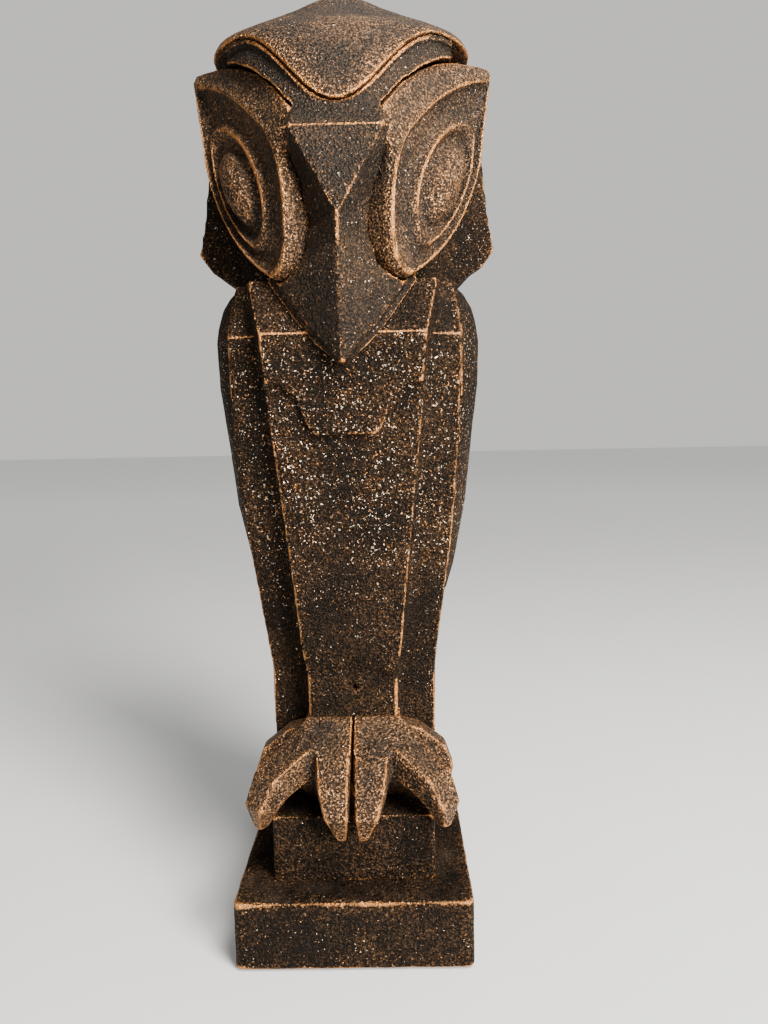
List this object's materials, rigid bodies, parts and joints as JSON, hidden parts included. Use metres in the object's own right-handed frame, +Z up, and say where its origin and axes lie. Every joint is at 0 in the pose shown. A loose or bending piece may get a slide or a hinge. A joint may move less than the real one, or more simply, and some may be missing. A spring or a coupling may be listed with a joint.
{
  "type": "owl figurine",
  "caption": "Tall stylised cast-iron owl with ringed eyes, wedge beak and clawed feet, standing on a stepped rectangular plinth.",
  "frame": {"origin": "middle of the plinth's underside, where the figurine stands", "axes": "+Z up along the height, -Y the way the owl faces, +X the owl's own left"},
  "size_m": [0.1104, 0.106, 0.33],
  "materials": {
    "dark_iron": "sand-cast, dark brown-black patina with copper-rubbed edges",
    "bronzed_iron": "sand-cast, warmer bronze wash rubbed to copper on the high spots",
    "steel_hardware": "plain zinc-grey steel",
    "felt": "pressed green felt"
  },
  "bodies": {
    "root": {"felt_pad": "felt", "base_slab": "dark_iron", "perch_block": "dark_iron", "perch_dowels": "steel_hardware", "body_front": "dark_iron", "body_back": "dark_iron", "body_dowels": "steel_hardware", "body_screws": "steel_hardware", "wing_left": "dark_iron", "wing_right": "dark_iron", "wing_screws": "steel_hardware", "foot_left": "bronzed_iron", "foot_right": "bronzed_iron", "foot_pins": "steel_hardware", "head_shell": "dark_iron", "head_dowels": "steel_hardware", "face_mask": "dark_iron", "mask_screws": "steel_hardware", "eye_block_left": "bronzed_iron", "eye_block_right": "bronzed_iron", "eye_screws": "steel_hardware", "crown_cap": "bronzed_iron", "tie_rod": "steel_hardware", "rod_nut": "steel_hardware", "rod_washer": "steel_hardware"}
  },
  "joints": []
}
